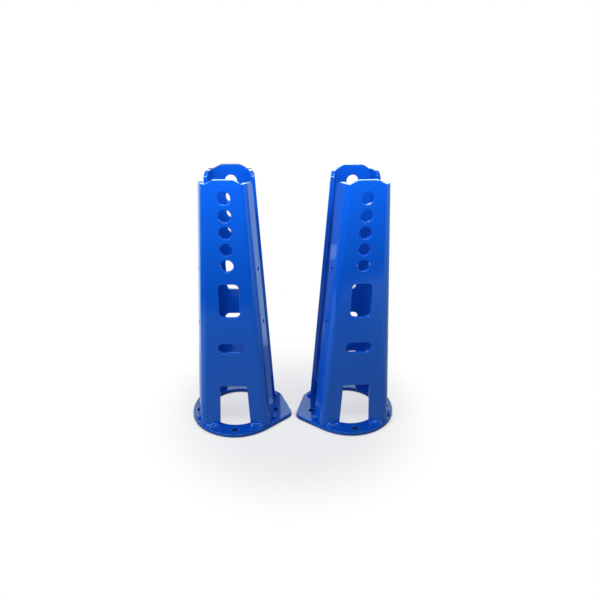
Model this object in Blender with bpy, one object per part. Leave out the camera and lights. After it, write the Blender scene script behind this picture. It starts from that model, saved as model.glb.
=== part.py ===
"""Mirrored pair of folded-plate shock towers, modelled in metres with +Z up.

Each tower has two identical uprights, laser-cut and folded along both sides, that stand face to face on a
base flange and are held by short fillet welds. The pair stands on the floor as a left and a right hand.
"""

import math

import bmesh
import bpy

# Steel sheet
PLATE_THICKNESS = 0.00635
BASE_THICKNESS = 0.00635
SEAT_GAP = 0.0003

# Uprights: the face is measured between its sharp outside corners, heights start at the foot
PLATE_HEIGHT = 0.4175
FOOT_WIDTH = 0.1150
TOP_WIDTH = 0.0615
TOWER_DEPTH = 0.1154
FLANGE_WIDTH = 0.0300
BEND_ANGLE = math.radians(75.0)
BEND_INSIDE_RADIUS = 0.00565

# Top edge: a raised tab, a notch that relieves each bend, and the top of the folded side, which falls to its free edge
TAB_WIDTH = 0.0290
TAB_CORNER = 0.0100
NOTCH_DROP = 0.0062
NOTCH_INSET = 0.0045
NOTCH_CORNER = 0.0060
FLANGE_TOP_DROP = 0.0055
FLANGE_TOP_FALL = 0.0015
FLANGE_TOP_CORNER = 0.0140

# Column of cross-bolt holes, counted down from the tab
BOLT_HOLE_DIAMETER = 0.01905
BOLT_HOLE_PITCH = 0.0254
BOLT_HOLE_COUNT = 5
TOP_HOLE_DROP = 0.0254

# Tall slot under the column and plain lightening slot under that
SLOT_WIDTH = 0.0316
SLOT_HEIGHT = 0.0566
SLOT_CORNER = 0.0080
SLOT_DROP = 0.0293
LIGHTENING_WIDTH = 0.0420
LIGHTENING_HEIGHT = 0.0180
LIGHTENING_DROP = 0.0450

# Window that opens the foot into two legs
WINDOW_HEIGHT = 0.0800
WINDOW_FOOT_WIDTH = 0.0514
WINDOW_TOP_WIDTH = 0.0438
WINDOW_CORNER = 0.0030

# Small holes along the folded sides
FLANGE_HOLE_DIAMETER = 0.0065
FLANGE_HOLE_EDGE = 0.0100
FLANGE_HOLE_LOW = 0.1900
FLANGE_HOLE_PITCH = 0.0889
FLANGE_HOLE_COUNT = 2

# Base flange: the rim and the bore each leave a ledge round the feet
RIM_LEDGE = 0.0007
BORE_LEDGE = 0.0044
BASE_BOLT_DIAMETER = 0.0103
BASE_BOLT_INSET = 0.0119
BASE_BOLT_ANGLES = tuple(math.radians(angle) for angle in (-90.0, -9.0, 90.0, 189.0))
LOBE_TIP_REACH = 0.0169
LOBE_TIP_RADIUS = 0.0140
LOBE_TIP_ANGLE = math.radians(-11.5)
LOBE_SHOULDER_REACH = 0.0052
LOBE_SHOULDER_RADIUS = 0.0200
LOBE_SHOULDER_ANGLE = math.radians(24.5)

# Fillet welds
FACE_WELD_LEG = 0.0070
FLANGE_WELD_LEG = 0.0050
WELD_CROWN = 0.0012
WELD_END_SIZE = 0.45
WELD_FACETS = 4
WELD_STATIONS = 8
WELD_RIM_MARGIN = 0.0005
WELD_END_MARGIN = 0.0010

# How the pair stands
PAIR_GAP = 0.0046
PAIR_STAGGER = 0.0063
TOE_ANGLE = math.radians(2.6)

# Finish
COAT_COLOUR = (0.012, 0.105, 0.560, 1.0)
PLATE_COAT_ROUGHNESS = 0.20
WELD_COAT_ROUGHNESS = 0.28

# Drawing limits: how far a flat facet may cut inside a round edge, and how much of an edge one fillet may use
FACET_SAG = 0.00012
EDGE_SHARE = 0.49
MERGE_DISTANCE = 1e-7
FLAT_ANGLE = math.radians(0.2)
SHARP_ANGLE = math.radians(30.0)

# Places that follow from the sizes above
FACE_Y = TOWER_DEPTH / 2
BEND_RADIUS = BEND_INSIDE_RADIUS + PLATE_THICKNESS
BEND_SETBACK = BEND_RADIUS * math.tan(BEND_ANGLE / 2)
BEND_LENGTH = BEND_RADIUS * BEND_ANGLE
FLANGE_RUN = FLANGE_WIDTH - BEND_SETBACK
FOOT_CORNER = (FOOT_WIDTH / 2, FACE_Y)
CORNER_ROUNDING = BEND_RADIUS * (1 / math.cos(BEND_ANGLE / 2) - 1)
BASE_RADIUS = math.hypot(*FOOT_CORNER) - CORNER_ROUNDING + RIM_LEDGE
BORE_RADIUS = math.hypot(WINDOW_FOOT_WIDTH / 2, FACE_Y - PLATE_THICKNESS) - BORE_LEDGE
LOBE_TIP_DISTANCE = BASE_RADIUS + LOBE_TIP_REACH - LOBE_TIP_RADIUS
LOBE_SHOULDER_DISTANCE = BASE_RADIUS + LOBE_SHOULDER_REACH - LOBE_SHOULDER_RADIUS
PLATE_FOOT_Z = BASE_THICKNESS + SEAT_GAP
TOWER_SPACING = 2 * (LOBE_TIP_DISTANCE + LOBE_TIP_RADIUS) + PAIR_GAP


def clear_scene():
    """Removes every object of the open scene."""
    for thing in list(bpy.data.objects):
        bpy.data.objects.remove(thing, do_unlink=True)


def coat_material(name, roughness):
    """Gloss powder coat as a plain Principled surface."""
    material = bpy.data.materials.new(name)
    material.use_nodes = True
    shader = material.node_tree.nodes["Principled BSDF"]
    shader.inputs["Base Color"].default_value = COAT_COLOUR
    shader.inputs["Roughness"].default_value = roughness
    shader.inputs["Metallic"].default_value = 0.0
    return material


def facet_angle(radius):
    """Widest turn of one facet of a round edge that stays within the facet limit."""
    return 2 * math.acos(1 - min(0.5, FACET_SAG / radius))


def arc(centre, radius, start, end):
    """Points along an arc, close enough together for the facet limit, with both ends."""
    count = max(1, math.ceil(abs(end - start) / facet_angle(radius)))
    angles = [start + (end - start) * i / count for i in range(count + 1)]
    return [(centre[0] + radius * math.cos(a), centre[1] + radius * math.sin(a)) for a in angles]


def circle(centre, radius):
    """Closed loop round a hole."""
    return arc(centre, radius, 0.0, 2 * math.pi)[:-1]


def rounded(corners):
    """Closed loop through corners (x, y, radius), each fillet limited to its share of the edges beside it."""
    loop = []
    for i, (x, y, radius) in enumerate(corners):
        before, after = corners[i - 1], corners[(i + 1) % len(corners)]
        to_before = (before[0] - x, before[1] - y)
        to_after = (after[0] - x, after[1] - y)
        in_angle = math.atan2(to_before[1], to_before[0])
        out_angle = math.atan2(to_after[1], to_after[0])
        opening = (out_angle - in_angle + math.pi) % (2 * math.pi) - math.pi
        half = abs(opening) / 2
        room = EDGE_SHARE * min(math.hypot(*to_before), math.hypot(*to_after))
        radius = min(radius, room * math.tan(half))
        if radius <= 0:
            loop.append((x, y))
            continue
        middle = in_angle + opening / 2
        centre = (x + radius / math.sin(half) * math.cos(middle), y + radius / math.sin(half) * math.sin(middle))
        turn = math.copysign(math.pi / 2, opening)
        loop += arc(centre, radius, in_angle - turn, in_angle - turn - math.copysign(math.pi - 2 * half, opening))
    return loop


def slot(centre_y, width, height, corner):
    """Round-cornered slot on the centre line."""
    x, low, high = width / 2, centre_y - height / 2, centre_y + height / 2
    return rounded([(x, low, corner), (x, high, corner), (-x, high, corner), (-x, low, corner)])


def wrap(circles):
    """Outline of a belt laid anticlockwise round circles (x, y, radius), given in that order."""
    loop = []
    for i, (x, y, radius) in enumerate(circles):
        leaving = belt_angle(circles[i], circles[(i + 1) % len(circles)])
        arriving = belt_angle(circles[i - 1], circles[i])
        loop += arc((x, y), radius, arriving, arriving + (leaving - arriving) % (2 * math.pi))
    return loop


def belt_angle(first, second):
    """Direction of the outward normal where a belt runs straight from one circle to the next."""
    dx, dy = second[0] - first[0], second[1] - first[1]
    return math.atan2(dy, dx) - math.acos((first[2] - second[2]) / math.hypot(dx, dy))


def cut_sheet(name, outline, holes, thickness, score_lines=()):
    """Flat sheet cut from plate: filled between its outline and holes, scored, then given its thickness along +Z.

    A score line is a point and a normal in the XY plane, and leaves an edge where the sheet will be folded.
    """
    curve = bpy.data.curves.new(name, "CURVE")
    curve.dimensions = "2D"
    curve.fill_mode = "BOTH"
    for loop in [outline, *holes]:
        spline = curve.splines.new("POLY")
        spline.points.add(len(loop) - 1)
        spline.use_cyclic_u = True
        for point, (x, y) in zip(spline.points, loop):
            point.co = (x, y, 0.0, 1.0)
    pattern = bpy.data.objects.new(name, curve)
    flat = bpy.data.meshes.new_from_object(pattern)
    sheet = bmesh.new()
    sheet.from_mesh(flat)
    bpy.data.objects.remove(pattern)
    bpy.data.curves.remove(curve)
    bpy.data.meshes.remove(flat)
    bmesh.ops.remove_doubles(sheet, verts=sheet.verts[:], dist=MERGE_DISTANCE)
    for point, normal in score_lines:
        everything = sheet.verts[:] + sheet.edges[:] + sheet.faces[:]
        bmesh.ops.bisect_plane(sheet, geom=everything, dist=MERGE_DISTANCE, plane_co=point, plane_no=normal)
    extruded = bmesh.ops.extrude_face_region(sheet, geom=sheet.faces[:])["geom"]
    lifted = [thing for thing in extruded if isinstance(thing, bmesh.types.BMVert)]
    bmesh.ops.translate(sheet, vec=(0.0, 0.0, thickness), verts=lifted)
    return sheet


def finish_mesh(sheet, name):
    """Turns the faces outwards, drops edges that lie in a plane and shades round walls smooth."""
    bmesh.ops.recalc_face_normals(sheet, faces=sheet.faces[:])
    bmesh.ops.dissolve_limit(sheet, angle_limit=FLAT_ANGLE, verts=sheet.verts[:], edges=sheet.edges[:])
    mesh = bpy.data.meshes.new(name)
    sheet.to_mesh(mesh)
    sheet.free()
    mesh.shade_smooth()
    mesh.set_sharp_from_angle(angle=SHARP_ANGLE)
    return mesh


def flat_half(height):
    """Half width of the flat face, out to where its bend starts."""
    corner = FOOT_WIDTH + (TOP_WIDTH - FOOT_WIDTH) * height / PLATE_HEIGHT
    return corner / 2 - BEND_SETBACK


def free_edge(height):
    """Half width of the unfolded blank."""
    return flat_half(height) + BEND_LENGTH + FLANGE_RUN


def blank_outline():
    """Edge of the unfolded blank: foot, free edge and top of one side, then the same mirrored."""
    flange_top = PLATE_HEIGHT - FLANGE_TOP_DROP
    flange_end = flange_top - FLANGE_TOP_FALL
    notch = PLATE_HEIGHT - NOTCH_DROP
    side = [
        (WINDOW_TOP_WIDTH / 2, WINDOW_HEIGHT, WINDOW_CORNER),
        (WINDOW_FOOT_WIDTH / 2, 0.0, 0.0),
        (free_edge(0.0), 0.0, 0.0),
        (free_edge(flange_end), flange_end, FLANGE_TOP_CORNER),
        (flat_half(flange_top) + BEND_LENGTH, flange_top, NOTCH_CORNER),
        (flat_half(notch) + NOTCH_INSET, notch, NOTCH_CORNER),
        (TAB_WIDTH / 2, PLATE_HEIGHT, TAB_CORNER),
    ]
    return rounded(side + [(-x, y, radius) for x, y, radius in reversed(side)])


def blank_holes():
    """Loops of every hole in the blank, from the tab down."""
    heights = [PLATE_HEIGHT - TOP_HOLE_DROP - BOLT_HOLE_PITCH * i for i in range(BOLT_HOLE_COUNT)]
    holes = [circle((0.0, height), BOLT_HOLE_DIAMETER / 2) for height in heights]
    slot_top = heights[-1] - SLOT_DROP
    holes.append(slot(slot_top - SLOT_HEIGHT / 2, SLOT_WIDTH, SLOT_HEIGHT, SLOT_CORNER))
    lightening_top = slot_top - SLOT_HEIGHT - LIGHTENING_DROP
    lightening_middle = lightening_top - LIGHTENING_HEIGHT / 2
    holes.append(slot(lightening_middle, LIGHTENING_WIDTH, LIGHTENING_HEIGHT, LIGHTENING_HEIGHT / 2))
    for i in range(FLANGE_HOLE_COUNT):
        height = FLANGE_HOLE_LOW + FLANGE_HOLE_PITCH * i
        for side in (-1, 1):
            across = side * (free_edge(height) - FLANGE_HOLE_EDGE)
            holes.append(circle((across, height), FLANGE_HOLE_DIAMETER / 2))
    return holes


def fold(across, height, depth):
    """Place of a blank point after both sides are folded back from the face, which looks along -Y."""
    side = math.copysign(1.0, across)
    past = abs(across) - flat_half(height)
    if past <= 0:
        return across, depth, height
    angle = min(past, BEND_LENGTH) / BEND_RADIUS
    run = max(0.0, past - BEND_LENGTH)
    radius = BEND_RADIUS - depth
    out = flat_half(height) + radius * math.sin(angle) + run * math.cos(angle)
    back = BEND_RADIUS - radius * math.cos(angle) + run * math.sin(angle)
    return side * out, back, height


def bend_lines():
    """Lines on the blank, as a point and a normal, that mark the facets of both bends."""
    steps = math.ceil(BEND_ANGLE / facet_angle(BEND_RADIUS))
    lines = []
    for side in (-1, 1):
        for i in range(steps + 1):
            past = BEND_LENGTH * i / steps
            foot, top = flat_half(0.0) + past, flat_half(PLATE_HEIGHT) + past
            lines.append(((side * foot, 0.0, 0.0), (side * PLATE_HEIGHT, foot - top, 0.0)))
    return lines


def upright_mesh():
    """Upright: the blank cut from plate, then folded."""
    sheet = cut_sheet("upright", blank_outline(), blank_holes(), PLATE_THICKNESS, bend_lines())
    for vert in sheet.verts:
        vert.co = fold(*vert.co)
    return finish_mesh(sheet, "upright")


def base_mesh(hand):
    """Base flange, with its lobe towards +X for hand 1 and towards -X for hand -1."""
    ears = [
        (0.0, 0.0, BASE_RADIUS),
        polar(LOBE_TIP_DISTANCE, LOBE_TIP_ANGLE) + (LOBE_TIP_RADIUS,),
        polar(LOBE_SHOULDER_DISTANCE, LOBE_SHOULDER_ANGLE) + (LOBE_SHOULDER_RADIUS,),
    ]
    bolts = [polar(BASE_RADIUS - BASE_BOLT_INSET, angle) for angle in BASE_BOLT_ANGLES]
    holes = [circle((0.0, 0.0), BORE_RADIUS)]
    holes += [circle(place, BASE_BOLT_DIAMETER / 2) for place in bolts]
    loops = [[(hand * x, y) for x, y in loop] for loop in [wrap(ears), *holes]]
    return finish_mesh(cut_sheet("base", loops[0], loops[1:], BASE_THICKNESS), "base")


def polar(distance, angle):
    """Point at a distance and an angle from the tower's axis."""
    return distance * math.cos(angle), distance * math.sin(angle)


def weld_mesh(name, length, leg):
    """Fillet bead along X, with its back to the plate at y = 0 and its foot at z = 0, drawn in at both ends."""
    section = [(0.0, 0.0)]
    for i in range(WELD_FACETS + 1):
        share = i / WELD_FACETS
        crown = WELD_CROWN * math.sin(math.pi * share) * math.sqrt(0.5)
        section.append((-leg * (1 - share) - crown, leg * share + crown))
    bead = bmesh.new()
    rings = []
    for i in range(WELD_STATIONS + 1):
        along = -math.cos(math.pi * i / WELD_STATIONS)
        size = WELD_END_SIZE + (1 - WELD_END_SIZE) * math.sqrt(max(0.0, 1 - along * along))
        rings.append([bead.verts.new((along * length / 2, y * size, z * size)) for y, z in section])
    for first, second in zip(rings, rings[1:]):
        for i in range(len(section)):
            bead.faces.new((first[i - 1], first[i], second[i], second[i - 1]))
    bead.faces.new(rings[0])
    bead.faces.new(rings[-1])
    return finish_mesh(bead, name)


def place(name, mesh, parent, location, turn=0.0):
    """Adds one named piece to a tower."""
    piece = bpy.data.objects.new(name, mesh)
    bpy.context.scene.collection.objects.link(piece)
    piece.parent = parent
    piece.location = location
    piece.rotation_euler = (0.0, 0.0, turn)
    return piece


def face_weld_span():
    """Start and end, across the face, of the bead that the base has room for at the foot of a leg."""
    reach = BASE_RADIUS - WELD_RIM_MARGIN
    room = math.sqrt(reach**2 - (FACE_Y + SEAT_GAP + FACE_WELD_LEG) ** 2)
    return WINDOW_FOOT_WIDTH / 2 + WELD_END_MARGIN, min(room, flat_half(0.0))


def flange_weld_span():
    """Start and end, from the foot's sharp corner, of the bead that the base has room for on a folded side."""
    along = (math.cos(BEND_ANGLE), -math.sin(BEND_ANGLE))
    out = (math.sin(BEND_ANGLE), math.cos(BEND_ANGLE))
    toe = [corner + (SEAT_GAP + FLANGE_WELD_LEG) * direction for corner, direction in zip(FOOT_CORNER, out)]
    reach = BASE_RADIUS - WELD_RIM_MARGIN
    inwards = -(toe[0] * along[0] + toe[1] * along[1])
    room = inwards - math.sqrt(inwards**2 - toe[0] ** 2 - toe[1] ** 2 + reach**2)
    return max(room, BEND_SETBACK), FLANGE_WIDTH - WELD_END_MARGIN


def build_welds(label, hand, tower):
    """Face and flange beads at the four legs of a tower, whose inner side has the lobe."""
    face_start, face_end = face_weld_span()
    flange_start, flange_end = flange_weld_span()
    face_bead = weld_mesh("face_weld", face_end - face_start, FACE_WELD_LEG)
    flange_bead = weld_mesh("flange_weld", flange_end - flange_start, FLANGE_WELD_LEG)
    face_middle = (face_start + face_end) / 2
    flange_middle = (flange_start + flange_end) / 2
    flange_x = FOOT_CORNER[0] + flange_middle * math.cos(BEND_ANGLE) + SEAT_GAP * math.sin(BEND_ANGLE)
    flange_y = FOOT_CORNER[1] - flange_middle * math.sin(BEND_ANGLE) + SEAT_GAP * math.cos(BEND_ANGLE)
    pieces = []
    for end, facing in (("front", -1), ("rear", 1)):
        for side_name, side in (("inner", hand), ("outer", -hand)):
            face_turn = 0.0 if facing < 0 else math.pi
            face_place = (side * face_middle, facing * (FACE_Y + SEAT_GAP), PLATE_FOOT_Z)
            pieces.append(place(f"{label}_{end}_{side_name}_face_weld", face_bead, tower, face_place, face_turn))
            outward = math.atan2(facing * math.cos(BEND_ANGLE), side * math.sin(BEND_ANGLE))
            flange_place = (side * flange_x, facing * flange_y, PLATE_FOOT_Z)
            turn = outward + math.pi / 2
            pieces.append(place(f"{label}_{end}_{side_name}_flange_weld", flange_bead, tower, flange_place, turn))
    weld_coat = coat_material(label + "_weld_coat", WELD_COAT_ROUGHNESS)
    for bead in (face_bead, flange_bead):
        bead.materials.append(weld_coat)
    return pieces


def build_tower(label, hand, pair, upright):
    """One tower: base flange, two uprights and their welds, with its lobe turned a little to the front."""
    tower = bpy.data.objects.new(label + "_tower", None)
    bpy.context.scene.collection.objects.link(tower)
    tower.parent = pair
    tower.location = (-hand * TOWER_SPACING / 2, hand * PAIR_STAGGER / 2, 0.0)
    tower.rotation_euler = (0.0, 0.0, -hand * TOE_ANGLE)
    base_sheet = base_mesh(hand)
    base_sheet.materials.append(coat_material(label + "_base_coat", PLATE_COAT_ROUGHNESS))
    base = place(label + "_base_flange", base_sheet, tower, (0.0, 0.0, 0.0))
    front = place(label + "_front_upright", upright, tower, (0.0, -FACE_Y, PLATE_FOOT_Z))
    rear = place(label + "_rear_upright", upright, tower, (0.0, FACE_Y, PLATE_FOOT_Z), math.pi)
    return [base, front, rear, *build_welds(label, hand, tower)]


def centre_on_floor(pair, pieces):
    """Moves the pair so that the middle of its box stands over the origin."""
    bpy.context.view_layer.update()
    scene = bpy.context.evaluated_depsgraph_get()
    corners = []
    for piece in pieces:
        solid = piece.evaluated_get(scene)
        corners += [solid.matrix_world @ vert.co for vert in solid.data.vertices]
    for axis in (0, 1):
        values = [corner[axis] for corner in corners]
        pair.location[axis] -= (min(values) + max(values)) / 2


def main():
    """Builds the pair."""
    clear_scene()
    pair = bpy.data.objects.new("pair", None)
    bpy.context.scene.collection.objects.link(pair)
    upright = upright_mesh()
    upright.materials.append(coat_material("upright_coat", PLATE_COAT_ROUGHNESS))
    pieces = build_tower("left", 1, pair, upright)
    pieces += build_tower("right", -1, pair, upright)
    centre_on_floor(pair, pieces)


main()
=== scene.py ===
"""Looks of a mirrored pair of folded-plate shock towers in gloss blue powder coat.

Every piece is a surface worked out with numpy in metres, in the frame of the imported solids, and stands for
one of them: uprights folded from cut plate with coat-rounded edges, base flanges, and rippled fillet welds.
"""

import logging
import math
from dataclasses import dataclass
from enum import Enum

import bpy
import numpy as np
from mathutils import Matrix, Vector
from mathutils.geometry import delaunay_2d_cdt


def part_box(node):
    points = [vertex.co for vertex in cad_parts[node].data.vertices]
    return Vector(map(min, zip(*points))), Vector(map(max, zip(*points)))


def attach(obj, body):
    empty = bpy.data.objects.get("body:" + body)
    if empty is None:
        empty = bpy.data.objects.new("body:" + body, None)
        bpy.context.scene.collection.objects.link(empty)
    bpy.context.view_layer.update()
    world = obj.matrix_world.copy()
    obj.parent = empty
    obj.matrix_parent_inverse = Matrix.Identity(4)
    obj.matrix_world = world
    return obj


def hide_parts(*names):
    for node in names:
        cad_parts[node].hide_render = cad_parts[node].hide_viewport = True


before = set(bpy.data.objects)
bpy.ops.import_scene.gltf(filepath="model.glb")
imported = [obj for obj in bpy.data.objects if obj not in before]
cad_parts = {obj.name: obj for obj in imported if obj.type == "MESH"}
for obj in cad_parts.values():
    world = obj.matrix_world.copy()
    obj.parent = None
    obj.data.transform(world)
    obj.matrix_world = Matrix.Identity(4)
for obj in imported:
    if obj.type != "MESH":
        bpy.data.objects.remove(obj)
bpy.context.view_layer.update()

log = logging.getLogger("shock_towers")

BODY = "root"
MM = 0.001
WHITE = "#FFFFFF"
# How far a straight facet may cut inside a round edge, and the fewest facets of an arc
FACET_SAG = 0.006 * MM
LEAST_FACETS = 2
# How much of an edge one fillet may use
EDGE_SHARE = 0.49
# Points of a fill that are closer than this count as one
MERGE_DISTANCE = 1e-7
# Outline points closer than this to a bend line's own point are left out
CROWDED = 0.05 * MM
# Constrained Delaunay output that fills everything inside the convex hull
FULL_HULL = 0


class Hand(Enum):
    """Which tower of the pair: the value is the side, along X, that its lobe points to."""

    LEFT = 1
    RIGHT = -1

    @property
    def label(self) -> str:
        """Word that starts the names of this tower's pieces."""
        return self.name.lower()


class End(Enum):
    """Which of a tower's two facing uprights: the value is the way its face looks along Y."""

    FRONT = -1
    REAR = 1

    @property
    def turn(self) -> float:
        """Angle about +Z that brings a piece made for the front to this end."""
        return 0.0 if self is End.FRONT else math.pi


class Leg(Enum):
    """Which leg of an upright: the inner one is on the lobe's side."""

    INNER = 1
    OUTER = -1


class Slot(Enum):
    """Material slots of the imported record."""

    PLATE = "powder_coat"
    WELD = "coated_weld"


# The numbers that the unevenness of each tower's welds is drawn from follow this one
WELD_SEEDS = {Hand.LEFT: 100, Hand.RIGHT: 200}


def linear(hex_colour: str) -> tuple[float, float, float, float]:
    """Turns an sRGB hex colour into linear light by the standard's own formula.

    Args:
        hex_colour: Colour such as "#0A64EE".

    Returns:
        Red, green, blue and alpha.
    """
    channels = [int(hex_colour[i : i + 2], 16) / 255 for i in (1, 3, 5)]
    light = [c / 12.92 if c <= 0.04045 else ((c + 0.055) / 1.055) ** 2.4 for c in channels]
    return (*light, 1.0)


def add_node(
    tree: bpy.types.NodeTree, kind: str, sockets: dict | None = None, **settings: object
) -> bpy.types.Node:
    """Adds a node with its settings, and gives each named input a value or a link.

    Args:
        tree: Node tree that gets the node.
        kind: Type name of the node.
        sockets: Input name, or index where names repeat, to a plain value or the output that feeds it.
        settings: Properties of the node.

    Returns:
        The node.
    """
    node = tree.nodes.new(kind)
    for name, value in settings.items():
        setattr(node, name, value)
    for name, value in (sockets or {}).items():
        if isinstance(value, bpy.types.NodeSocket):
            tree.links.new(value, node.inputs[name])
        else:
            node.inputs[name].default_value = value
    return node


@dataclass
class Surface:
    """Mesh arrays of one closed piece.

    Attributes:
        points: Vertices, one row each.
        quads: Four vertex numbers for each face, anticlockwise from outside.
        triangles: Three vertex numbers for each face, anticlockwise from outside.
        normals: Shading normals, one row for each vertex, or None for Blender's own.
    """

    points: np.ndarray
    quads: np.ndarray
    triangles: np.ndarray
    normals: np.ndarray | None = None

    def moved(self, turn: float, place: tuple[float, float, float]) -> "Surface":
        """Turns the piece about +Z and then shifts it.

        Args:
            turn: Angle in radians.
            place: Shift in metres.

        Returns:
            A moved copy.
        """
        spin = np.array(Matrix.Rotation(turn, 3, "Z"))
        normals = None if self.normals is None else self.normals @ spin.T
        return Surface(self.points @ spin.T + np.array(place), self.quads, self.triangles, normals)

    def to_object(self, name: str) -> bpy.types.Object:
        """Puts the arrays into a smooth mesh object at the origin.

        Args:
            name: Name of the object and its mesh.

        Returns:
            The object, linked to the scene.
        """
        mesh = bpy.data.meshes.new(name)
        faces = self.quads.tolist() + self.triangles.tolist()
        mesh.from_pydata(self.points.tolist(), [], faces, shade_flat=False)
        if self.normals is not None:
            mesh.normals_split_custom_set_from_vertices(self.normals.tolist())
        piece = bpy.data.objects.new(name, mesh)
        bpy.context.scene.collection.objects.link(piece)
        return piece


def arc(centre: tuple[float, float], radius: float, start: float, end: float) -> np.ndarray:
    """Arc as centre + radius (cos, sin), with facets that keep to the sag.

    Args:
        centre: Middle of the circle.
        radius: Its radius.
        start: First angle in radians.
        end: Last angle in radians.

    Returns:
        Points in the plane, both ends included.
    """
    facet = 2 * math.acos(1 - FACET_SAG / radius)
    turns = np.linspace(start, end, max(LEAST_FACETS, math.ceil(abs(end - start) / facet)) + 1)
    return np.array(centre) + radius * np.stack([np.cos(turns), np.sin(turns)], axis=1)


def circle(centre: tuple[float, float], radius: float) -> np.ndarray:
    """Closed anticlockwise loop of points round a hole."""
    return arc(centre, radius, 0.0, 2 * math.pi)[:-1]


def rounded(corners: list[tuple[float, float, float]]) -> np.ndarray:
    """Polygon whose corners are replaced by arcs that touch both edges.

    Args:
        corners: Corner points with their fillet radii, each cut down to its share of the edges beside it.

    Returns:
        Points of the closed loop.
    """
    pieces = []
    for i, (x, y, radius) in enumerate(corners):
        before, after = corners[i - 1], corners[(i + 1) % len(corners)]
        to_before = (before[0] - x, before[1] - y)
        to_after = (after[0] - x, after[1] - y)
        in_angle = math.atan2(to_before[1], to_before[0])
        out_angle = math.atan2(to_after[1], to_after[0])
        opening = (out_angle - in_angle + math.pi) % (2 * math.pi) - math.pi
        half = abs(opening) / 2
        room = EDGE_SHARE * min(math.hypot(*to_before), math.hypot(*to_after))
        radius = min(radius, room * math.tan(half))
        reach = radius / math.sin(half)
        middle = in_angle + opening / 2
        centre = (x + reach * math.cos(middle), y + reach * math.sin(middle))
        first = in_angle - math.copysign(math.pi / 2, opening)
        pieces.append(arc(centre, radius, first, first - math.copysign(math.pi - 2 * half, opening)))
    return np.concatenate(pieces)


def upright_slot(middle: float, width: float, height: float, corner: float) -> np.ndarray:
    """Loop round a round-cornered slot on the centre line."""
    x, low, high = width / 2, middle - height / 2, middle + height / 2
    return rounded([(x, low, corner), (x, high, corner), (-x, high, corner), (-x, low, corner)])


def mitres(loop: np.ndarray) -> np.ndarray:
    """Directions that offset a closed loop by one unit to its right.

    The mitre at a corner is the sum of its two edges' unit normals, divided by one plus their dot product.

    Args:
        loop: Points of the loop.

    Returns:
        One direction for each point.
    """
    ahead = np.roll(loop, -1, axis=0) - loop
    right = np.stack([ahead[:, 1], -ahead[:, 0]], axis=1) / np.linalg.norm(ahead, axis=1, keepdims=True)
    before = np.roll(right, 1, axis=0)
    return (right + before) / (1 + np.sum(right * before, axis=1, keepdims=True))


@dataclass(frozen=True)
class CutPlate:
    """Flat plate cut by laser, whose edges the powder coat rounds off.

    Attributes:
        thickness: Thickness of the plate.
        edge_radius: Radius that the coat leaves on a cut edge.
        edge_facets: Facets of that quarter round.
    """

    thickness: float = 6.35 * MM
    edge_radius: float = 0.9 * MM
    edge_facets: int = 5

    def cut(self, loops: list[np.ndarray], scores: np.ndarray | None = None) -> Surface:
        """Fills the plate between its loops and carries the edge section round each of them.

        The section is a quarter round, a straight wall and a quarter round: offset r (sin a - 1) and depth
        r (1 - cos a), plus the wall in its second half, for a from 0 to pi. Both skins are a constrained
        Delaunay fill of the loops, set back by the radius.

        Args:
            loops: Outline anticlockwise, then holes clockwise, with the material on the left.
            scores: Pairs of point numbers that the fill has to join by edges.

        Returns:
            Plate with its depth in the third column, measured from the front skin.
        """
        rim = np.concatenate(loops)
        aside = np.concatenate([mitres(loop) for loop in loops])
        sizes = [len(loop) for loop in loops]
        starts = np.cumsum([0] + sizes[:-1])
        ahead = [start + np.roll(np.arange(size), -1) for start, size in zip(starts, sizes)]
        following = np.concatenate(ahead)
        quarter = np.linspace(0.0, math.pi / 2, self.edge_facets + 1)
        turn = np.concatenate([quarter, quarter + math.pi / 2])
        offset = self.edge_radius * (np.sin(turn) - 1)
        wall = np.repeat([0.0, self.thickness - 2 * self.edge_radius], len(quarter))
        depth = self.edge_radius * (1 - np.cos(turn)) + wall
        rings, count = len(turn), len(rim)
        points = np.empty((rings, count, 3))
        points[..., :2] = rim + offset[:, None, None] * aside
        points[..., 2] = depth[:, None]
        normals = np.empty_like(points)
        normals[..., :2] = np.sin(turn)[:, None, None] * aside / np.linalg.norm(aside, axis=1, keepdims=True)
        normals[..., 2] = -np.cos(turn)[:, None]
        number = np.arange(rings * count).reshape(rings, count)
        walls = np.stack([number[:-1], number[1:], number[1:, following], number[:-1, following]], axis=-1)
        edges = np.stack([np.arange(count), following], axis=1)
        skin = self.fill(points[0, :, :2], edges, np.empty((0, 2), int) if scores is None else scores)
        skins = np.concatenate([skin, number[-1][skin[:, ::-1]]])
        return Surface(points.reshape(-1, 3), walls.reshape(-1, 4), skins, normals.reshape(-1, 3))

    @staticmethod
    def fill(flat: np.ndarray, edges: np.ndarray, scores: np.ndarray) -> np.ndarray:
        """Triangles of a plane region between loops.

        Of all triangles in the convex hull, those stay from whose middle a ray along +X crosses an odd number
        of the loops' edges.

        Args:
            flat: Points in the plane.
            edges: Pairs of point numbers, round the loops.
            scores: Pairs of point numbers that also get joined.

        Returns:
            Anticlockwise triangles, by point number.
        """
        corners = [Vector(point) for point in flat]
        joined = np.concatenate([edges, scores]).tolist()
        filled = delaunay_2d_cdt(corners, joined, [], FULL_HULL, MERGE_DISTANCE, True)
        origin = np.array([sources[0] for sources in filled[3]])
        triangles = origin[np.array(filled[2])]
        x, y = flat[triangles].mean(axis=1).T[:, :, None]
        (start_x, start_y), (end_x, end_y) = flat[edges[:, 0]].T, flat[edges[:, 1]].T
        spans = (start_y > y) != (end_y > y)
        leftwards = (end_x - start_x) * (y - start_y) - (end_y - start_y) * (x - start_x) > 0
        crossings = np.count_nonzero(spans & (leftwards == (end_y > start_y)), axis=1)
        return triangles[crossings % 2 == 1]


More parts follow.
